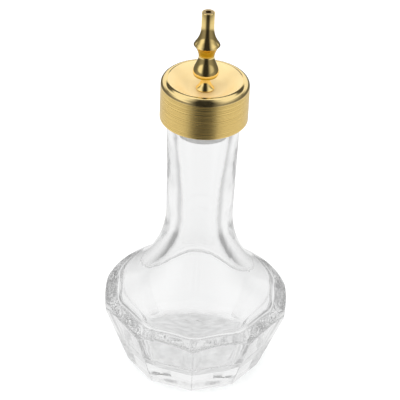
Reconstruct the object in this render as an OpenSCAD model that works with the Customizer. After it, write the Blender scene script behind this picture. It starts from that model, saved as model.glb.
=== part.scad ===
// Bitters bottle with a lift-off dasher top.
// A heavy ten-sided glass bottle carries a plated brass cap. The cap holds a turned
// pouring spout above and a ribbed plug below, and lifts off the neck as one piece.
// Sizes are in millimetres. The origin is the centre of the base, and +Z is up.

/* [Glass body] */
// Number of flat facets round the lower body
facet_count = 10; // [6:1:14]
// Distance from the axis to the middle of a facet, at the base
base_flat_r = 21; // [18:0.5:23]
// Lean of each facet from upright, in degrees
facet_lean = 19.5; // [14:0.5:23]
// Radius of the round belly before the facets are cut
belly_r = 30.5; // [29:0.5:34]
// Height at which the belly is widest
belly_z = 19.7; // [16:0.1:23]
// Radius of the rounding from the belly into the shoulder
shoulder_r = 7; // [5:0.5:9]
// Steepness of the shoulder, as its angle from upright, in degrees
shoulder_angle = 49; // [42:1:54]
// Thickness of glass behind a facet
facet_wall = 5; // [4:0.1:6]
// Thickness of glass under the liquid
floor_t = 6.2; // [5:0.2:8]
// Rounding inside, where the side wall turns into the shoulder
cavity_turn_r = 4; // [2:0.5:5]
// Rounding inside, where the side wall meets the floor
cavity_floor_r = 5; // [3:0.5:7]
// How far the cavity's ridges are rounded beyond its flats
cavity_ridge = 0.5; // [0.3:0.1:0.8]
// Steepness of the shoulder inside, as its angle from upright, in degrees
cavity_angle = 53; // [48:1:56]
// Rounding of the heel, at the corners between the facets
heel_r = 0.8; // [0.4:0.1:1.2]
// Radius of the hollow under the base
punt_r = 14; // [10:0.5:16]
// Depth of the hollow under the base
punt_depth = 0.8; // [0.4:0.1:2]

/* [Glass neck] */
// Height of the lip above the table
lip_z = 96.7; // [88:0.1:104]
// Outer radius of the neck at its slimmest, where the shoulder flare begins
neck_low_r = 10.5; // [9.6:0.1:11.5]
// Outer radius of the neck at the lip
neck_top_r = 11.3; // [10.8:0.1:11.8]
// Radius of the concave flare from neck to shoulder
flare_r = 34; // [26:1:40]
// Radius of the bore at the top, where the plug fits
bore_r = 8; // [7:0.1:8.2]
// Radius of the bore at its narrowest, at the foot of the neck
throat_r = 5.7; // [5:0.1:6.5]
// Height of the throat
throat_z = 54; // [50:0.5:56]
// Height at which the bore becomes straight
straight_z = 76; // [70:1:80]
// Radius of the flare inside, from the throat to the shoulder
cavity_flare_r = 31; // [28:0.5:33]
// Rounding of the lip, inside and out
lip_round = 1.1; // [0.6:0.1:1.3]

/* [Cap] */
// Outer radius of the cap
cap_r = 13.5; // [13:0.1:15]
// Depth of the skirt below the lip
skirt_drop = 7.3; // [5:0.1:10]
// Radius of the polished edge between the skirt and the top
cap_edge_r = 2; // [1.2:0.1:2.8]
// Thickness of the skirt
skirt_t = 0.9; // [0.6:0.1:1.2]
// Thickness of the top plate
plate_t = 1.2; // [0.9:0.1:1.6]
// Rounding of the rolled edge at the foot of the skirt
skirt_edge_r = 0.3; // [0.1:0.05:0.4]
// Depth of the dished top, which drains drips to the spout
dish_depth = 3.4; // [2:0.1:4]
// Radius of the flat middle of the dish
dish_flat_r = 4.6; // [4.2:0.1:5.5]
// Rounding of the rim where it turns over into the dish
dish_rim_r = 0.6; // [0.4:0.1:1]
// Steepest slope of the dish, in degrees
dish_slope = 24; // [16:1:28]

/* [Spout] */
// Height of the spout above the cap
spout_h = 22.6; // [18:0.2:28]
// Radius of the pouring bore
pour_r = 0.85; // [0.6:0.05:1]
// Radius of the spout at its tip
tip_r = 1.95; // [1.6:0.05:2.3]
// Radius of the sharp upper collar
collar_r = 4; // [3.4:0.1:4.6]
// Height of the upper collar above the cap
collar_z = 11.7; // [10.5:0.1:13]
// Radius of the waist between the two collars
waist_r = 2.42; // [2.2:0.02:2.8]
// Height of the waist above the cap
waist_z = 7.9; // [7:0.1:8.6]
// Radius of the round lower collar
bulb_r = 3.93; // [3.4:0.1:4.6]
// Height of the lower collar above the cap
bulb_z = 2.6; // [2.2:0.1:3.4]
// Radius of the stem below the lower collar
stem_r = 1.3; // [1.25:0.05:1.7]
// Radius of the flared foot that stands in the dish
foot_r = 2.8; // [2.4:0.1:3.2]
// Radius of the threaded shank below the stem
shank_r = 1.3; // [1.2:0.02:1.4]

/* [Fixings] */
// Width of the hexagonal nut across its flats
nut_flats = 5; // [4.5:0.1:6]
// Thickness of the nut
nut_t = 2; // [1.4:0.1:2.4]
// Outer radius of the sealing washer
washer_r = 3; // [2.6:0.1:3.2]
// Thickness of the sealing washer
washer_t = 0.5; // [0.3:0.1:0.8]
// Length of shank that shows below the nut
shank_tail = 1.2; // [0.6:0.1:2]

/* [Plug] */
// Thickness of the flange that seals on the lip
flange_t = 1.6; // [1.2:0.1:2.2]
// Length of the plug below its flange
plug_h = 11.8; // [9:0.2:16]
// Number of sealing ribs
rib_count = 3; // [2:1:4]
// Depth of the grooves between the ribs
rib_depth = 0.7; // [0.4:0.1:0.9]
// Thickness of each rib at its edge
rib_t = 0.9; // [0.6:0.1:1.2]
// Radius of the passage through the plug
passage_r = 2; // [1.6:0.1:2.6]

/* [Fits] */
// Radial clearance of the plug in the neck
plug_fit = 0.05; // [0.02:0.01:0.09]
// Radial clearance between parts held together in the top
hold_fit = 0.05; // [0.02:0.01:0.09]
// Room round the washer and nut in the plug's pocket
pocket_gap = 0.4; // [0.3:0.1:0.6]

/* [Hidden] */
arc_step = 4;
$fn = 96;

plate_z = lip_z + flange_t;
dish_z = plate_z + plate_t;
cap_top_z = dish_z + dish_depth;
skirt_z = lip_z - skirt_drop;

// Points on an arc from angle a0 to a1, about centre c
function arc(c, r, a0, a1) =
    let (steps = max(2, ceil(abs(a1 - a0) / arc_step)))
    [for (i = [0 : steps]) let (a = a0 + (a1 - a0) * i / steps) c + r * [cos(a), sin(a)]];

// Where the line through p along u meets the line through q along v
function meet(p, u, q, v) =
    let (t = ((q.x - p.x) * v.y - (q.y - p.y) * v.x) / (u.x * v.y - u.y * v.x))
    p + t * u;

// A corner at b, between points a and c, rounded to radius r
function rounded(a, b, c, r) =
    let (u = (a - b) / norm(a - b))
    let (v = (c - b) / norm(c - b))
    let (half = acos(u * v) / 2)
    let (mid = (u + v) / norm(u + v))
    let (centre = b + mid * r / sin(half))
    let (start = b + u * r / tan(half) - centre)
    let (end = b + v * r / tan(half) - centre)
    let (a0 = atan2(start.y, start.x))
    let (turn = atan2(start.x * end.y - start.y * end.x, start * end))
    arc(centre, r, a0, a0 + turn);

// A smooth run from p to q that leaves along u and arrives along v
function sweep(p, u, q, v, steps = 10) =
    [for (i = [0 : steps])
        let (t = i / steps)
        pow(1 - t, 3) * p + 3 * pow(1 - t, 2) * t * (p + u)
            + 3 * (1 - t) * t * t * (q - v) + t * t * t * q];

// The shoulder's two tangent arcs, joined by a straight run
shoulder_c = [belly_r - shoulder_r, belly_z];
shoulder_end = shoulder_c + shoulder_r * [cos(shoulder_angle), sin(shoulder_angle)];
flare_end_r = neck_low_r + flare_r * (1 - cos(shoulder_angle));
flare_end_z = shoulder_end.y + (shoulder_end.x - flare_end_r) / tan(shoulder_angle);
flare_c = [neck_low_r + flare_r, flare_end_z + flare_r * sin(shoulder_angle)];

// The cavity's side wall runs parallel to the facets, a little outside the flats cut into it
cavity_flat_r = base_flat_r - facet_wall / cos(facet_lean);
wall_dir = [sin(facet_lean), cos(facet_lean)];
wall_foot = [cavity_flat_r + cavity_ridge, 0];
throat_c = [throat_r + cavity_flare_r, throat_z];
throat_end = throat_c - cavity_flare_r * [cos(cavity_angle), sin(cavity_angle)];
cavity_wide = meet(throat_end, [sin(cavity_angle), -cos(cavity_angle)], wall_foot, wall_dir);
cavity_foot = meet([0, floor_t], [1, 0], wall_foot, wall_dir);
punt_ball_r = (punt_r * punt_r + punt_depth * punt_depth) / (2 * punt_depth);

// The rounded heel, just inside the corners that the facets leave at the base
function heel() =
    let (corner_r = (base_flat_r + heel_r * tan(facet_lean) / 2) / cos(180 / facet_count))
    arc([corner_r - heel_r, heel_r], heel_r, -90, 0);

module blank() {
    punt_angle = asin(punt_r / punt_ball_r);
    rotate_extrude()
    polygon(concat(
        arc([0, punt_depth - punt_ball_r], punt_ball_r, 90, 90 - punt_angle),
        heel(),
        [[belly_r, belly_z / 2]],
        arc(shoulder_c, shoulder_r, 0, shoulder_angle),
        arc(flare_c, flare_r, 180 + shoulder_angle, 180),
        arc([neck_top_r - lip_round, lip_z - lip_round], lip_round, 0, 90),
        [[0, lip_z]]
    ));
}

module cavity_blank() {
    rotate_extrude()
    polygon(concat(
        [[0, floor_t]],
        rounded([0, floor_t], cavity_foot, cavity_wide, cavity_floor_r),
        rounded(cavity_foot, cavity_wide, throat_end, cavity_turn_r),
        arc(throat_c, cavity_flare_r, 180 + cavity_angle, 180),
        sweep([throat_r, throat_z], [0, 8], [bore_r, straight_z], [0, 8]),
        arc([bore_r + lip_round, lip_z - lip_round], lip_round, 180, 90),
        [[0, lip_z]]
    ));
}

// Cuts flats all round, each leaning out from the axis as it rises
module facets(flat_r) {
    reach = 2 * belly_r;
    for (i = [0 : facet_count - 1])
        rotate([0, 0, (i + 0.5) * 360 / facet_count - 90])
        translate([flat_r, 0, 0])
        rotate([0, facet_lean, 0])
        translate([0, -reach / 2, -reach / 2])
        cube([reach, reach, 2 * reach]);
}

module glass_bottle() {
    color([0.86, 0.91, 0.92, 0.45])
    difference() {
        blank();
        facets(base_flat_r);
        difference() {
            cavity_blank();
            facets(cavity_flat_r);
        }
    }
}

// The dished top, from its rim to the shank hole, lowered by drop
function dish(drop) =
    let (rim = arc([cap_r - cap_edge_r, cap_top_z - dish_rim_r - drop], dish_rim_r, 90, 90 + dish_slope))
    let (run = (cap_r - cap_edge_r - dish_flat_r) * 0.4)
    let (start = rim[len(rim) - 1])
    concat(
        rim,
        sweep(start, -run * [cos(dish_slope), sin(dish_slope)], [dish_flat_r, dish_z - drop], [-run, 0], 8),
        [[shank_r + hold_fit, dish_z - drop]]
    );

module cap_shell() {
    inner_r = cap_r - skirt_t;
    under = dish(plate_t);
    color([0.86, 0.68, 0.32])
    rotate_extrude()
    polygon(concat(
        arc([cap_r - skirt_edge_r, skirt_z + skirt_edge_r], skirt_edge_r, -90, 0),
        arc([cap_r - cap_edge_r, cap_top_z - cap_edge_r], cap_edge_r, 0, 90),
        dish(0),
        [for (i = [len(under) - 1 : -1 : 0]) under[i]],
        [[inner_r, cap_top_z - cap_edge_r], [inner_r, skirt_z]]
    ));
}

module dasher_spout() {
    edge_r = 0.25;
    tip_z = cap_top_z + spout_h;
    tip_run = 4;
    collar_y = cap_top_z + collar_z;
    waist_y = cap_top_z + waist_z;
    bulb_y = cap_top_z + bulb_z;
    under_y = bulb_y - 1.1;
    stem_y = bulb_y - 2.4;
    foot_y = dish_z + 0.4;
    shank_end_z = plate_z - washer_t - nut_t - shank_tail;
    color([0.93, 0.76, 0.40])
    rotate_extrude()
    polygon(concat(
        [[pour_r, shank_end_z], [shank_r, shank_end_z], [shank_r, dish_z]],
        [[foot_r - edge_r, dish_z], [foot_r, dish_z + edge_r]],
        sweep([foot_r, foot_y], [-0.9, 0.9], [stem_r, stem_y], [0, 0.9], 8),
        sweep([stem_r, stem_y], [0, 0.9], [bulb_r - edge_r, under_y], [0.9, 0.1], 8),
        sweep([bulb_r - edge_r / 2, under_y + edge_r], [edge_r / 2, 0.3], [bulb_r, bulb_y], [0, 0.3], 4),
        sweep([bulb_r, bulb_y], [0, 1.4], [waist_r, waist_y], [0, 2], 14),
        sweep([waist_r, waist_y], [0, 0.9], [collar_r, collar_y], [1, 1.2], 8),
        sweep([collar_r - edge_r, collar_y + 2 * edge_r], [-1.4, 1.9], [tip_r, tip_z - tip_run], [0, 3], 12),
        arc([tip_r - edge_r, tip_z - edge_r], edge_r, 0, 90),
        [[pour_r, tip_z]]
    ));
}

module sealing_washer() {
    color([0.78, 0.20, 0.16])
    translate([0, 0, plate_z - washer_t])
    difference() {
        cylinder(r = washer_r, h = washer_t);
        translate([0, 0, -washer_t])
        cylinder(r = shank_r + hold_fit, h = 3 * washer_t);
    }
}

module spout_nut() {
    color([0.82, 0.66, 0.34])
    translate([0, 0, plate_z - washer_t - nut_t])
    difference() {
        cylinder(r = nut_flats / 2 / cos(30), h = nut_t, $fn = 6);
        translate([0, 0, -nut_t])
        cylinder(r = shank_r + hold_fit, h = 3 * nut_t);
    }
}

module stopper_plug() {
    body_r = bore_r - plug_fit;
    core_r = body_r - rib_depth;
    flange_r = cap_r - skirt_t - hold_fit;
    pitch = plug_h / (rib_count + 1);
    pocket_r = max(washer_r, nut_flats / 2 / cos(30)) + pocket_gap;
    pocket_h = washer_t + nut_t + shank_tail + pocket_gap;
    color([0.95, 0.95, 0.93])
    difference() {
        union() {
            translate([0, 0, lip_z])
            cylinder(r = flange_r, h = flange_t);
            translate([0, 0, lip_z - plug_h])
            cylinder(r = core_r, h = plug_h);
            for (i = [1 : rib_count])
                translate([0, 0, lip_z - i * pitch])
                rotate_extrude()
                polygon([[0, -rib_t], [core_r, -rib_t], [body_r, -rib_t / 2], [body_r, rib_t / 2], [core_r, rib_t], [0, rib_t]]);
        }
        translate([0, 0, lip_z - plug_h - 1])
        cylinder(r = passage_r, h = plug_h + flange_t + 2);
        translate([0, 0, plate_z - pocket_h])
        cylinder(r = pocket_r, h = pocket_h + 1);
    }
}

glass_bottle();
cap_shell();
dasher_spout();
sealing_washer();
spout_nut();
stopper_plug();
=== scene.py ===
import math
import bmesh
import bpy
from mathutils import Matrix, Vector


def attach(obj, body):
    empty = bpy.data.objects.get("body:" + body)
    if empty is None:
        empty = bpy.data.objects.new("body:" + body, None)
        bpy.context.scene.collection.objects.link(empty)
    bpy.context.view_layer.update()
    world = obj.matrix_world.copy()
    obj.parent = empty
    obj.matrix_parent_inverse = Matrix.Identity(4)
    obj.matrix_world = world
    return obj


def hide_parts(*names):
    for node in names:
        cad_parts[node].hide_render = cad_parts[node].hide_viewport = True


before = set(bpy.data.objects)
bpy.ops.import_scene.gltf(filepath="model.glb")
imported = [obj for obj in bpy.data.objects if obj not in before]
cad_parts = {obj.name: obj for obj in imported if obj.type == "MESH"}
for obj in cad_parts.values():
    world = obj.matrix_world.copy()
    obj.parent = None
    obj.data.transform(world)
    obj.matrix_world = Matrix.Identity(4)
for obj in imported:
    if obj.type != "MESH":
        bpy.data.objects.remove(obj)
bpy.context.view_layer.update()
scene = bpy.context.scene

# CAMERA
# A long lens looks down at the bottle from the front, and is rolled slightly, as in the photo.
# Its place, pitch and lens were fitted to the outlines of the cap, the neck and the base.
camera_at = Vector((0.0, -0.50014, 0.39145))
camera_pitch = math.radians(33.61)
camera_roll = 0.0454
sensor_width, lens = 36, 172.6

look = Vector((0, math.cos(camera_pitch), -math.sin(camera_pitch)))
side = Vector((1, 0, 0))
up = side.cross(look)
cam_x = math.cos(camera_roll) * side + math.sin(camera_roll) * up
cam_y = math.cos(camera_roll) * up - math.sin(camera_roll) * side
camera_data = bpy.data.cameras.new("camera")
camera_data.sensor_width = sensor_width
camera_data.lens = lens
camera = bpy.data.objects.new("camera", camera_data)
scene.collection.objects.link(camera)
turn = Matrix((cam_x, cam_y, -look)).transposed()
camera.matrix_world = Matrix.Translation(camera_at) @ turn.to_4x4()
scene.camera = camera
scene.view_settings.view_transform = "Standard"


# STUDIO
# The bottle stands on a plain white sweep in a white tent, whose dark gaps shape the gold.
# One wide soft lamp hangs over it. Nothing in this section belongs to the bottle.
def new_object(name, mesh):
    obj = bpy.data.objects.new(name, mesh)
    scene.collection.objects.link(obj)
    return obj


def new_material(name):
    mat = bpy.data.materials.new(name)
    mat.use_nodes = True
    tree = mat.node_tree
    return mat, tree, tree.nodes["Principled BSDF"]


def add(tree, kind, inputs, **settings):
    """Adds a shader node. inputs maps the name or number of an input to its value, or to the
    socket that feeds it."""
    node = tree.nodes.new("ShaderNode" + kind)
    for key, value in settings.items():
        setattr(node, key, value)
    for key, value in inputs.items():
        if isinstance(value, bpy.types.NodeSocket):
            tree.links.new(value, node.inputs[key])
        else:
            node.inputs[key].default_value = value
    return node


def show(tree, surface):
    """Sends a shader to the material's output."""
    tree.links.new(surface.outputs[0], tree.nodes["Material Output"].inputs["Surface"])


floor_half = 3.0
floor_mesh = bpy.data.meshes.new("floor")
floor_corners = [(-floor_half, -floor_half, 0), (floor_half, -floor_half, 0),
                 (floor_half, floor_half, 0), (-floor_half, floor_half, 0)]
floor_mesh.from_pydata(floor_corners, [], [(0, 1, 2, 3)])
floor = new_object("floor", floor_mesh)
floor_mat, tree, shader = new_material("floor_white")
shader.inputs["Base Color"].default_value = (0.95, 0.95, 0.95, 1)
shader.inputs["Roughness"].default_value = 0.9
floor_mesh.materials.append(floor_mat)
floor.visible_glossy = False
floor.visible_transmission = False

# A painted shadow: a grey glowing disc for the floor's shade right under the bottle. It shows
# only through the glass, lies just under the floor, and fades out before the bottle's edge.
patch_r, patch_sides, patch_z = 0.026, 64, -0.0002
fade_from, fade_to = 0.017, 0.025
patch_dark, patch_pale = 0.62, 0.82
patch_angles = [2 * math.pi * k / patch_sides for k in range(patch_sides)]
under_mesh = bpy.data.meshes.new("painted_shadow_disc")
under_mesh.from_pydata(
    [(patch_r * math.cos(a), patch_r * math.sin(a), patch_z) for a in patch_angles],
    [], [tuple(range(patch_sides))])
under = new_object("painted_shadow_disc", under_mesh)
under_mat, tree, shader = new_material("painted_floor_shadow")
tree.nodes.remove(shader)
place = add(tree, "TexCoord", {}).outputs["Object"]
reach = add(tree, "VectorMath", {0: place}, operation="LENGTH")
fade = add(tree, "MapRange", {"Value": reach.outputs["Value"], "From Min": fade_from,
                              "From Max": fade_to}, interpolation_type="SMOOTHSTEP")
mottle = add(tree, "TexNoise", {"Vector": place, "Scale": 260.0, "Detail": 3.0})
shade = add(tree, "MapRange", {"Value": mottle.outputs["Fac"], "From Min": 0.35,
                               "From Max": 0.65, "To Min": patch_dark, "To Max": patch_pale})
# the painted shadow's mottled grey, given out as light in place of the shaded floor
grey = add(tree, "Emission", {"Color": shade.outputs[0]})
clear = add(tree, "BsdfTransparent", {})
show(tree, add(tree, "MixShader", {0: fade.outputs[0], 1: grey.outputs[0], 2: clear.outputs[0]}))
under_mesh.materials.append(under_mat)
under.visible_camera = under.visible_glossy = under.visible_diffuse = False
under.visible_shadow = False

world = bpy.data.worlds.new("tent")
scene.world = world
world.use_nodes = True
sky = world.node_tree
back = sky.nodes["Background"]
back.inputs["Strength"].default_value = 1.0


def sky_math(op, *values):
    return add(sky, "Math", dict(enumerate(values)), operation=op).outputs[0]


def sky_ramp(value, stops):
    """Greys round the bottle, as (place, grey) pairs."""
    node = add(sky, "ValToRGB", {0: value})
    elements = node.color_ramp.elements
    while len(elements) < len(stops):
        elements.new(0.5)
    for element, (position, tone) in zip(elements, stops):
        element.position = position
        element.color = (tone, tone, tone, 1)
    return node.outputs[0]


def sky_mix(fac, a, b):
    return add(sky, "Mix", {0: fac, 6: a, 7: b}, data_type="RGBA").outputs[2]


def sky_step(value, low, high):
    return add(sky, "MapRange", {"Value": value, "From Min": low, "From Max": high},
               interpolation_type="SMOOTHSTEP").outputs[0]


# around: 0.5 is the camera's side, 0 and 1 are behind the bottle, and under 0.5 is to the left.
# behind: 0 is the camera's side and 1 is behind the bottle. rise: -1 is down and 1 is up.
towards = add(sky, "SeparateXYZ", {0: add(sky, "TexCoord", {}).outputs["Generated"]}).outputs
bearing = sky_math("ARCTAN2", towards[0], sky_math("MULTIPLY", towards[1], -1.0))
around = sky_math("MULTIPLY_ADD", bearing, 0.5 / math.pi, 0.5)
behind = sky_math("MULTIPLY", sky_math("ABSOLUTE", sky_math("SUBTRACT", around, 0.5)), 2.0)
rise = towards[2]

# What the gold mirrors, from the floor up: the white table, the dark gap over it, a soft box
# on each side, the tent's walls and its roof, and a dark hole at the very top.
table_seen = sky_ramp(around, [
    (0.0, 0.8), (0.2, 0.85), (0.3, 0.82), (0.36, 0.75), (0.39, 0.52), (0.42, 0.2),
    (0.45, 0.08), (0.5, 0.05), (0.55, 0.08), (0.58, 0.25), (0.61, 0.65), (0.65, 0.8),
    (0.8, 0.85), (1.0, 0.8)])
gap_seen = sky_ramp(around, [
    (0.0, 0.14), (0.2, 0.16), (0.3, 0.28), (0.38, 0.3), (0.42, 0.16), (0.45, 0.04),
    (0.5, 0.02), (0.55, 0.04), (0.58, 0.16), (0.62, 0.3), (0.7, 0.28), (0.8, 0.16),
    (1.0, 0.14)])
box_seen = sky_ramp(around, [
    (0.0, 1.0), (0.14, 0.9), (0.2, 0.2), (0.25, 0.5), (0.3, 1.0), (0.365, 1.0),
    (0.39, 0.7), (0.42, 0.15), (0.45, 0.03), (0.55, 0.03), (0.58, 0.15), (0.61, 0.4),
    (0.65, 0.62), (0.7, 0.62), (0.75, 0.4), (0.8, 0.22), (0.86, 0.9), (1.0, 1.0)])
high_seen = sky_ramp(around, [
    (0.0, 1.0), (0.33, 1.0), (0.4, 0.3), (0.435, 0.03), (0.565, 0.03), (0.6, 0.3),
    (0.67, 0.95), (1.0, 1.0)])
top_seen = sky_ramp(around, [
    (0.0, 1.0), (0.2, 1.0), (0.35, 0.4), (0.42, 0.05), (0.58, 0.05), (0.65, 0.4),
    (0.8, 1.0), (1.0, 1.0)])
mirrored = sky_mix(sky_step(rise, -0.46, -0.38), table_seen, gap_seen)
mirrored = sky_mix(sky_step(rise, 0.02, 0.14), mirrored, box_seen)
mirrored = sky_mix(sky_step(rise, 0.3, 0.5), mirrored, high_seen)
mirrored = sky_mix(sky_step(rise, 0.85, 0.95), mirrored, top_seen)
# the far edge of the tent's roof is a dark line high up behind the bottle
roof_line = sky_math("MULTIPLY", sky_step(rise, 0.5, 0.56),
                     sky_math("SUBTRACT", 1.0, sky_step(rise, 0.7, 0.78)))
roof_line = sky_math("MULTIPLY", roof_line, sky_step(behind, 0.55, 0.75))
mirrored = sky_mix(roof_line, mirrored, (0.08, 0.08, 0.08, 1))
mirrored = sky_mix(sky_step(rise, 0.96, 0.99), mirrored, (0.12, 0.12, 0.12, 1))

# What shows through the glass: the white table, near and far, which is greyer at the sides,
# and the white tent over it.
near_through = sky_ramp(behind, [
    (0.0, 0.95), (0.45, 0.92), (0.57, 0.8), (0.61, 0.68), (0.68, 0.68), (0.74, 0.86),
    (0.82, 0.97), (1.0, 0.97)])
far_through = sky_ramp(behind, [
    (0.0, 0.9), (0.45, 0.85), (0.56, 0.5), (0.6, 0.4), (0.7, 0.4), (0.78, 0.78),
    (0.85, 0.97), (1.0, 0.97)])
through = sky_mix(sky_step(rise, -0.6, -0.42), near_through, far_through)
through = sky_mix(sky_step(rise, 0.3, 0.7), through, (1, 1, 1, 1))

path = add(sky, "LightPath", {})
seen = sky_mix(path.outputs["Is Glossy Ray"], (1, 1, 1, 1), mirrored)
seen = sky_mix(path.outputs["Is Transmission Ray"], seen, through)
seen = sky_mix(path.outputs["Is Camera Ray"], seen, (1, 1, 1, 1))
sky.links.new(seen, back.inputs["Color"])

key_at, key_aim = Vector((-0.12, -0.1, 0.9)), Vector((0, 0, 0.06))
key_width, key_watts = 0.8, 5
key_data = bpy.data.lights.new("key", "AREA")
key_data.shape = "RECTANGLE"
key_data.size = key_data.size_y = key_width
key_data.energy = key_watts
key = new_object("key", key_data)
key.location = key_at
key.rotation_euler = (key_aim - key_at).to_track_quat("-Z", "Y").to_euler()
key.visible_glossy = False
key.visible_transmission = False

# GLASS BOTTLE
# Heavy pressed glass: a round blank with ten flat facets pressed into its lower body, then
# fire-polished so that no edge is sharp. The cavity has ten softer flats of its own low down,
# turns in over them to a round bore, and leaves a thick floor and thick walls.
mm = 0.001
facets = 10
base_flat_r, lean = 21.0, math.radians(19.5)
belly_r, belly_z = 30.5, 19.7
shoulder_r, shoulder_angle = 7.0, math.radians(49)
neck_low_r, neck_top_r, flare_r = 10.5, 11.3, 34.0
lip_z, lip_round, bore_r = 96.7, 1.1, 8.0
floor_t, facet_wall = 6.2, 5.0
punt_r, punt_depth = 14.0, 0.8
# edges softened by the flame: along the ridges, in the facets' arches, round the heel
ridge_round, arch_round, heel_round = 1.0, 0.5, 0.8
bottle_turns = 480

shoulder_end_r = belly_r - shoulder_r * (1 - math.cos(shoulder_angle))
shoulder_end_z = belly_z + shoulder_r * math.sin(shoulder_angle)
flare_end_r = neck_low_r + flare_r * (1 - math.cos(shoulder_angle))
flare_end_z = shoulder_end_z + (shoulder_end_r - flare_end_r) / math.tan(shoulder_angle)
neck_low_z = flare_end_z + flare_r * math.sin(shoulder_angle)


def blank_r(z):
    """The round blank: belly, shoulder, straight cone, flare and neck."""
    if z <= belly_z:
        return belly_r
    if z <= shoulder_end_z:
        return belly_r - shoulder_r + math.sqrt(shoulder_r ** 2 - (z - belly_z) ** 2)
    if z <= flare_end_z:
        return shoulder_end_r - (z - shoulder_end_z) * math.tan(shoulder_angle)
    if z <= neck_low_z:
        return neck_low_r + flare_r - math.sqrt(flare_r ** 2 - (neck_low_z - z) ** 2)
    return neck_low_r + (neck_top_r - neck_low_r) * (z - neck_low_z) / (lip_z - neck_low_z)


def faceted_r(flat_r, theta, edge):
    """Ten flats at flat_r from the axis, with their ridges rounded by edge."""
    half = math.pi / facets
    off = abs((theta % (2 * half)) - half)
    if off <= math.atan((flat_r - edge) * math.tan(half) / flat_r):
        return flat_r / math.cos(off)
    a = (flat_r - edge) / math.cos(half)
    return a * math.cos(half - off) + math.sqrt(edge ** 2 - (a * math.sin(half - off)) ** 2)


def soft_min(a, b, width):
    """The smaller of two radii, with the corner between them rounded over width."""
    h = max(width - abs(a - b), 0) / width
    return min(a, b) - h * h * width / 4


def outer_r(z, theta):
    flats = faceted_r(base_flat_r + z * math.tan(lean), theta, ridge_round)
    return soft_min(blank_r(z), flats, arch_round)


# the cavity, whose bore widens slowly from the throat up to the plug
cavity_turn_r, cavity_floor_r = 4.0, 5.0
throat_r, throat_z, bore_top_z = 5.8, 54.0, 84.0
bore_curve = 0.75
cavity_flare_r, cavity_angle = 31.0, math.radians(53)
cavity_flat_r = base_flat_r - facet_wall / math.cos(lean)
cavity_end_r = throat_r + cavity_flare_r * (1 - math.cos(cavity_angle))
cavity_end_z = throat_z - cavity_flare_r * math.sin(cavity_angle)
# the cavity's ridges are sharpest near its floor and fade out higher up
ridge_low, ridge_high, ridge_grows, ridge_from_z = 2.0, 9.0, 0.9, floor_t + 2


def cavity_blank_r(z):
    if z >= bore_top_z:
        return bore_r
    if z >= throat_z:
        t = (z - throat_z) / (bore_top_z - throat_z)
        eased = bore_curve * t * t * (3 - 2 * t) + (1 - bore_curve) * t
        return throat_r + (bore_r - throat_r) * eased
    if z >= cavity_end_z:
        drop = throat_z - z
        return throat_r + cavity_flare_r - math.sqrt(cavity_flare_r ** 2 - drop ** 2)
    return cavity_end_r + (cavity_end_z - z) * math.tan(cavity_angle)


def cavity_r(z, theta):
    ridge = min(ridge_high, ridge_low + ridge_grows * max(0.0, z - ridge_from_z))
    flats = faceted_r(cavity_flat_r + z * math.tan(lean), theta, ridge)
    return soft_min(cavity_blank_r(z), flats, cavity_turn_r)


def steps(a, b, step):
    """Even steps from a to b, of about this size."""
    n = max(1, round((b - a) / step))
    return [a + (b - a) * i / n for i in range(n + 1)]


# Each ring is a function of the angle that gives a radius and a height. The rings run from the
# middle of the base, up the outside, over the lip and down the cavity to its floor.
rings = []
punt_ball_r = (punt_r ** 2 + punt_depth ** 2) / (2 * punt_depth)
for r in (3, 6, 9, 11.5, 13.5):
    rings.append(lambda t, r=r: (
        r, punt_depth - punt_ball_r + math.sqrt(punt_ball_r ** 2 - r * r)))
for r in (14.1, 15.5, 17.5, 19):
    rings.append(lambda t, r=r: (r, 0.0))
heel_steps = 8
heel_in = heel_round * (1 / math.cos(lean) - math.tan(lean))
for i in range(heel_steps + 1):
    a = (math.pi / 2 - lean) * i / heel_steps
    rings.append(lambda t, a=a: (
        faceted_r(base_flat_r, t, ridge_round) - heel_in + heel_round * math.sin(a),
        heel_round * (1 - math.cos(a))))
heel_top_z = heel_round * (1 - math.sin(lean)) + 0.4
lip_low_z = lip_z - lip_round
lip_angles = steps(0.2, math.pi / 2, 0.2)
for z in (steps(heel_top_z, 20, 1.0) + steps(20.25, 30, 0.25) + steps(30.5, 56, 0.75)
          + steps(57.5, lip_low_z, 2)):
    rings.append(lambda t, z=z: (outer_r(z, t), z))
for a in lip_angles:
    rings.append(lambda t, a=a: (
        neck_top_r - lip_round + lip_round * math.cos(a), lip_low_z + lip_round * math.sin(a)))

cavity = []
corner_steps = 20
for i in range(corner_steps + 1):
    a = math.pi / 2 * i / corner_steps
    z = floor_t + cavity_floor_r * (1 - math.cos(a))
    cavity.append(lambda t, a=a, z=z: (
        cavity_r(z, t) - cavity_floor_r * (1 - math.sin(a)), z))
for z in (steps(floor_t + cavity_floor_r + 0.5, 30, 0.5) + steps(31, 56, 1)
          + steps(58, lip_low_z, 3)):
    cavity.append(lambda t, z=z: (cavity_r(z, t), z))
for a in lip_angles:
    cavity.append(lambda t, a=a: (
        bore_r + lip_round - lip_round * math.cos(a), lip_low_z + lip_round * math.sin(a)))
rings += reversed(cavity)

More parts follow.
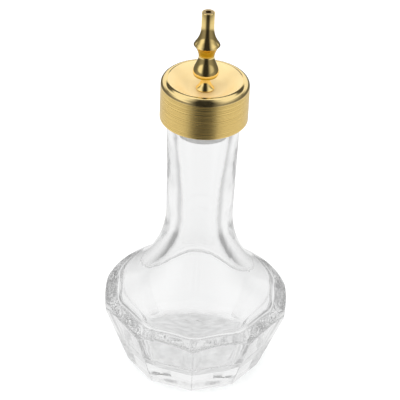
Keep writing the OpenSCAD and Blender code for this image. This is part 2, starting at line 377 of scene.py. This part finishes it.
mesh = bpy.data.meshes.new("bottle_glass")
bm = bmesh.new()
base_middle = bm.verts.new((0, 0, punt_depth * mm))
last = None
for ring in rings:
    verts = []
    for k in range(bottle_turns):
        t = 2 * math.pi * k / bottle_turns
        r, z = ring(t)
        verts.append(bm.verts.new((r * math.sin(t) * mm, -r * math.cos(t) * mm, z * mm)))
    for k in range(bottle_turns):
        n = (k + 1) % bottle_turns
        if last is None:
            bm.faces.new((base_middle, verts[n], verts[k]))
        else:
            bm.faces.new((last[k], last[n], verts[n], verts[k]))
    last = verts
floor_middle = bm.verts.new((0, 0, floor_t * mm))
for k in range(bottle_turns):
    bm.faces.new((last[k], last[(k + 1) % bottle_turns], floor_middle))
bmesh.ops.recalc_face_normals(bm, faces=bm.faces)
bm.to_mesh(mesh)
bm.free()
mesh.polygons.foreach_set("use_smooth", [True] * len(mesh.polygons))
bottle = new_object("bottle_glass", mesh)

glass_mat, tree, shader = new_material("clear_glass")
shader.inputs["Base Color"].default_value = (0.99, 0.992, 0.992, 1)
shader.inputs["Roughness"].default_value = 0.0
shader.inputs["IOR"].default_value = 1.51
shader.inputs["Transmission Weight"].default_value = 1.0
absorb = add(tree, "VolumeAbsorption", {"Color": (0.0, 0.0, 0.0, 1), "Density": 1.5})
tree.links.new(absorb.outputs[0], tree.nodes["Material Output"].inputs["Volume"])

# pressed glass is never quite flat, and its base is finely stippled round the hollow
wave_height, pip_height = 0.00005, 0.00008
stipple_top_z, stipple_full_z = 0.0006, 0.0001
place = add(tree, "TexCoord", {}).outputs["Object"]
waves = add(tree, "TexNoise", {"Vector": place, "Scale": 170.0, "Detail": 1.0,
                               "Distortion": 0.6})
swell = add(tree, "Bump", {"Strength": 1.0, "Distance": wave_height,
                           "Height": waves.outputs["Fac"]})
pips = add(tree, "TexNoise", {"Vector": place, "Scale": 900.0, "Detail": 1.0})
height = add(tree, "SeparateXYZ", {0: place}).outputs[2]
at_base = add(tree, "MapRange", {"Value": height, "From Min": stipple_top_z,
                                 "From Max": stipple_full_z})
stipple = add(tree, "Bump", {"Strength": at_base.outputs[0], "Distance": pip_height,
                             "Height": pips.outputs["Fac"], "Normal": swell.outputs[0]})
tree.links.new(stipple.outputs[0], shader.inputs["Normal"])

# Glass lets the lamp through to the floor. Where a ray has bounced about inside it for long, the
# glass glows a painted grey instead.
longest_path = 12.0
path = add(tree, "LightPath", {})
clear = add(tree, "BsdfTransparent", {"Color": (0.97, 0.98, 0.98, 1)})
lit = add(tree, "MixShader", {0: path.outputs["Is Shadow Ray"], 1: shader.outputs[0],
                              2: clear.outputs[0]})
deep = add(tree, "Math", {0: path.outputs["Ray Depth"], 1: longest_path},
           operation="GREATER_THAN")
# painted glow: grey light given out in place of the light on long paths through the glass
painted_grey_glow = add(tree, "Emission", {"Color": (0.5, 0.5, 0.5, 1)})
show(tree, add(tree, "MixShader", {0: deep.outputs[0], 1: lit.outputs[0],
                                   2: painted_grey_glow.outputs[0]}))
glass_mat.cycles.emission_sampling = "NONE"
scene.cycles.max_bounces = scene.cycles.glossy_bounces = 64
scene.cycles.transmission_bounces = 64
mesh.materials.append(glass_mat)
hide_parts("glass_bottle")
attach(bottle, "bottle")

# CAP
# Spun brass, gold-plated: a brushed skirt with fine turning lines, a mirror-polished rounded
# edge, and a satin dish that drains drips back to the spout. The plug is pressed up inside it.
cap_r, cap_edge_r, skirt_t, skirt_edge_r, plate_t = 13.5, 2.0, 0.9, 0.3, 1.2
skirt_z, plate_z, cap_top_z = 89.4, 98.3, 102.9
dish_z, dish_flat_r, dish_rim_r, dish_slope = 99.5, 4.6, 0.6, math.radians(24)
plate_hole_r = 1.35
lathe_turns, sharp_from = 192, math.radians(35)


def arc(cx, cz, r, a0, a1, n=12):
    angles = [math.radians(a0 + (a1 - a0) * i / n) for i in range(n + 1)]
    return [(cx + r * math.cos(a), cz + r * math.sin(a)) for a in angles]


def sweep(p, u, q, v, n=24):
    """A smooth curve from p, which it leaves along u, to q, which it reaches along v."""
    b, c = (p[0] + u[0], p[1] + u[1]), (q[0] - v[0], q[1] - v[1])
    points = []
    for i in range(n + 1):
        t = i / n
        w = ((1 - t) ** 3, 3 * (1 - t) ** 2 * t, 3 * (1 - t) * t * t, t ** 3)
        points.append(tuple(
            w[0] * p[k] + w[1] * b[k] + w[2] * c[k] + w[3] * q[k] for k in (0, 1)))
    return points


def line(p, q, n=1):
    return [(p[0] + (q[0] - p[0]) * i / n, p[1] + (q[1] - p[1]) * i / n) for i in range(n + 1)]


def lathe(name, runs):
    """Spins a closed outline, given as (points, material index) runs, about the Z axis."""
    outline, marks = [], []
    for points, mark in runs:
        for p in points:
            if not outline or math.dist(p, outline[-1]) > 1e-4:
                outline.append(p)
                marks.append(mark)
    if math.dist(outline[0], outline[-1]) < 1e-4:
        outline.pop()
        marks.pop()
    bm = bmesh.new()
    angles = [2 * math.pi * k / lathe_turns for k in range(lathe_turns)]
    grid = [[bm.verts.new((r * math.sin(a) * mm, -r * math.cos(a) * mm, z * mm)) for a in angles]
            for r, z in outline]
    for i in range(len(outline)):
        j = (i + 1) % len(outline)
        for k in range(lathe_turns):
            n = (k + 1) % lathe_turns
            face = bm.faces.new((grid[i][k], grid[i][n], grid[j][n], grid[j][k]))
            face.material_index = marks[j]
            face.smooth = True
    bmesh.ops.recalc_face_normals(bm, faces=bm.faces)
    for edge in bm.edges:
        if edge.calc_face_angle(0) > sharp_from:
            edge.smooth = False
    mesh = bpy.data.meshes.new(name)
    bm.to_mesh(mesh)
    bm.free()
    return new_object(name, mesh)


def turning_lines(way):
    """Node group: fine lines left by the lathe, round the axis. way is Z on a wall, R on a face."""
    group = bpy.data.node_groups.new("turning_lines_" + way, "ShaderNodeTree")
    for socket, default in (("Pitch", 900.0), ("Wander", 0.3)):
        item = group.interface.new_socket(socket, in_out="INPUT", socket_type="NodeSocketFloat")
        item.default_value = default
    for socket in ("Lines", "Streaks"):
        group.interface.new_socket(socket, in_out="OUTPUT", socket_type="NodeSocketFloat")
    enter, leave = group.nodes.new("NodeGroupInput"), group.nodes.new("NodeGroupOutput")

    def op(kind, *values):
        return add(group, "Math", dict(enumerate(values)), operation=kind).outputs[0]

    place = add(group, "TexCoord", {}).outputs["Object"]
    x, y, z = add(group, "SeparateXYZ", {0: place}).outputs
    radius = op("SQRT", op("ADD", op("MULTIPLY", x, x), op("MULTIPLY", y, y)))
    along = op("MULTIPLY", z if way == "Z" else radius, enter.outputs["Pitch"])
    angle = op("ARCTAN2", x, y)
    fine = add(group, "TexNoise", {"W": op("MULTIPLY", along, 1.5), "Detail": 1.5},
               noise_dimensions="1D")
    spot = add(group, "CombineXYZ", {
        0: op("MULTIPLY", op("SINE", angle), enter.outputs["Wander"]),
        1: op("MULTIPLY", op("COSINE", angle), enter.outputs["Wander"]),
        2: along})
    coarse = add(group, "TexNoise", {"Vector": spot.outputs[0], "Detail": 4, "Scale": 1.6})
    group.links.new(fine.outputs["Fac"], leave.inputs["Lines"])
    group.links.new(coarse.outputs["Fac"], leave.inputs["Streaks"])
    return group


def gold(name, colour, rough, lines, pitch, wander, bump=0.0, spread=0.0, deep=None,
         under=None, metal=1.0):
    """Turned and plated brass. colour and deep are its two shades, spread is how far its
    roughness changes between lines, and under is a painted shade given to the faces that look down."""
    mat, tree, shader = new_material(name)
    shader.inputs["Metallic"].default_value = metal
    cut = add(tree, "Group", {"Pitch": pitch, "Wander": wander}, node_tree=lines)
    dull = add(tree, "MapRange", {
        "Value": cut.outputs["Lines"], "From Min": 0.38, "From Max": 0.62,
        "To Min": rough - spread, "To Max": rough + spread})
    tree.links.new(dull.outputs[0], shader.inputs["Roughness"])
    deep = deep or tuple(c * 0.9 for c in colour)
    tint = add(tree, "Mix", {0: cut.outputs["Streaks"], 6: colour + (1,), 7: deep + (1,)},
               data_type="RGBA")
    # painted shade: faces that look down are coloured darker, towards under
    if under:
        normal = add(tree, "TexCoord", {}).outputs["Normal"]
        facing = add(tree, "SeparateXYZ", {0: normal}).outputs[2]
        down = add(tree, "MapRange", {"Value": facing, "From Min": 0.0, "From Max": -0.25})
        tint = add(tree, "Mix", {0: down.outputs[0], 6: tint.outputs[2], 7: under + (1,)},
                   data_type="RGBA")
    tree.links.new(tint.outputs[2], shader.inputs["Base Color"])
    if bump:
        scratches = add(tree, "Bump", {"Strength": bump, "Distance": 0.00002,
                                       "Height": cut.outputs["Lines"]})
        tree.links.new(scratches.outputs[0], shader.inputs["Normal"])
    return mat


lines_up = turning_lines("Z")
lines_out = turning_lines("R")
skirt_gold = gold("gold_brushed_skirt", (1.0, 0.74, 0.27), 0.31, lines_up, 700.0, 0.3,
                  bump=0.4, spread=0.28, deep=(0.94, 0.68, 0.24))
edge_gold = gold("gold_polished_edge", (1.0, 0.78, 0.37), 0.07, lines_up, 700.0, 0.8,
                 spread=0.03, deep=(0.95, 0.73, 0.33))
dish_gold = gold("gold_satin_dish", (1.0, 0.8, 0.43), 0.42, lines_out, 900.0, 0.8,
                 bump=0.1, spread=0.05, deep=(1.0, 0.77, 0.38), metal=0.5)

rim_r = cap_r - cap_edge_r
edge_z = cap_top_z - cap_edge_r
rim = arc(rim_r, cap_top_z - dish_rim_r, dish_rim_r, 90, 90 + math.degrees(dish_slope))
run = (rim_r - dish_flat_r) * 0.4
dish = sweep(rim[-1], (-run * math.cos(dish_slope), -run * math.sin(dish_slope)),
             (dish_flat_r, dish_z), (-run, 0), 40)
below = [(r, z - plate_t) for r, z in rim + dish]
cap = lathe("cap_gold", [
    (arc(cap_r - skirt_edge_r, skirt_z + skirt_edge_r, skirt_edge_r, -90, 0, 6), 0),
    (line((cap_r, skirt_z + skirt_edge_r), (cap_r, edge_z), 8), 0),
    (arc(rim_r, edge_z, cap_edge_r, 0, 90, 24), 1),
    (rim, 1),
    (dish + [(plate_hole_r, dish_z)], 2),
    (list(reversed(below + [(plate_hole_r, plate_z)])), 2),
    (line((cap_r - skirt_t, edge_z), (cap_r - skirt_t, skirt_z), 4), 2),
])
for mat in (skirt_gold, edge_gold, dish_gold):
    cap.data.materials.append(mat)
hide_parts("cap_shell")
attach(cap, "dasher_top")

# SPOUT
# Turned brass, polished and gold-plated: a tube with a sharp collar, a waist, a round lower
# collar, and a flared foot that the nut pulls down into the dish. The shank goes on through it.
edge_r, pour_r, shank_r, foot_r, stem_r = 0.25, 0.85, 1.3, 2.8, 1.3
bulb_r, waist_r, collar_r, tip_r = 3.93, 2.42, 4.0, 1.95
bulb_z, waist_z = cap_top_z + 2.6, cap_top_z + 7.9
collar_z, tip_z = cap_top_z + 11.7, cap_top_z + 22.6
washer_t, nut_t, shank_tail = 0.5, 2.0, 1.2
stem_z = bulb_z - 2.4
shank_end_z = plate_z - washer_t - nut_t - shank_tail
spout = lathe("spout_gold", [
    (line((pour_r, shank_end_z), (shank_r, shank_end_z)), 0),
    (line((shank_r, shank_end_z), (shank_r, dish_z), 2), 0),
    (arc(foot_r - edge_r, dish_z + edge_r, edge_r, -90, 0, 6), 0),
    (sweep((foot_r, dish_z + 0.4), (-0.9, 0.9), (stem_r, stem_z), (0, 0.9), 20), 0),
    (sweep((stem_r, stem_z), (0, 0.9), (bulb_r - edge_r, bulb_z - 1.1), (0.9, 0.1), 16), 0),
    (sweep((bulb_r - edge_r / 2, bulb_z - 0.85), (edge_r / 2, 0.3), (bulb_r, bulb_z),
           (0, 0.3), 8), 0),
    (sweep((bulb_r, bulb_z), (0, 1.4), (waist_r, waist_z), (0, 2), 32), 0),
    (sweep((waist_r, waist_z), (0, 0.9), (collar_r, collar_z), (1, 1.2), 24), 0),
    (sweep((collar_r - edge_r, collar_z + 2 * edge_r), (-1.4, 1.9), (tip_r, tip_z - 4),
           (0, 3), 36), 0),
    (arc(tip_r - edge_r, tip_z - edge_r, edge_r, 0, 90, 8), 0),
    (line((pour_r, tip_z), (pour_r, shank_end_z), 4), 1),
])
# the spout's faces that look down get a painted shade, the dark under colour
spout.data.materials.append(gold(
    "gold_polished_spout", (1.0, 0.77, 0.33), 0.07, lines_up, 1300.0, 0.5,
    bump=0.02, spread=0.02, deep=(0.93, 0.69, 0.26), under=(0.5, 0.33, 0.02)))
spout.data.materials.append(gold(
    "brass_bore", (0.62, 0.46, 0.22), 0.35, lines_up, 1300.0, 0.5, bump=0.3, spread=0.05))
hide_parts("dasher_spout")
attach(spout, "dasher_top")

# NUT
# A plain brass hexagon nut under the cap's plate, as machined. It screws onto the spout's
# shank and clamps the spout, the plate and the washer together.
nut_brass = gold("plain_brass_nut", (0.76, 0.58, 0.28), 0.32, lines_out, 1600.0, 0.6,
                 bump=0.6, spread=0.08)
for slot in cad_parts["spout_nut"].material_slots:
    slot.material = nut_brass


# WASHER
# Moulded red rubber, thin and soft. The nut squeezes it against the underside of the plate,
# so that nothing leaks round the shank.
def moulded(node, colour, rough, grain):
    """Rubber or plastic with the faint grain of its mould."""
    mat, tree, shader = new_material(node + "_surface")
    shader.inputs["Roughness"].default_value = rough
    place = add(tree, "TexCoord", {}).outputs["Object"]
    noise = add(tree, "TexNoise", {"Vector": place, "Scale": grain, "Detail": 3})
    tint = add(tree, "Mix", {
        0: noise.outputs["Fac"],
        6: tuple(c * 0.94 for c in colour) + (1,),
        7: tuple(min(1, c * 1.05) for c in colour) + (1,)}, data_type="RGBA")
    tree.links.new(tint.outputs[2], shader.inputs["Base Color"])
    bump = add(tree, "Bump", {"Strength": 0.3, "Distance": 0.00004,
                              "Height": noise.outputs["Fac"]})
    tree.links.new(bump.outputs[0], shader.inputs["Normal"])
    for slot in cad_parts[node].material_slots:
        slot.material = mat


moulded("sealing_washer", (0.36, 0.035, 0.025), 0.65, 5000.0)

# PLUG
# White polyethylene, moulded with three sealing ribs and a flange that sits on the lip. It is
# pressed up into the cap and grips the bore of the neck.
moulded("stopper_plug", (0.95, 0.95, 0.94), 0.42, 1800.0)
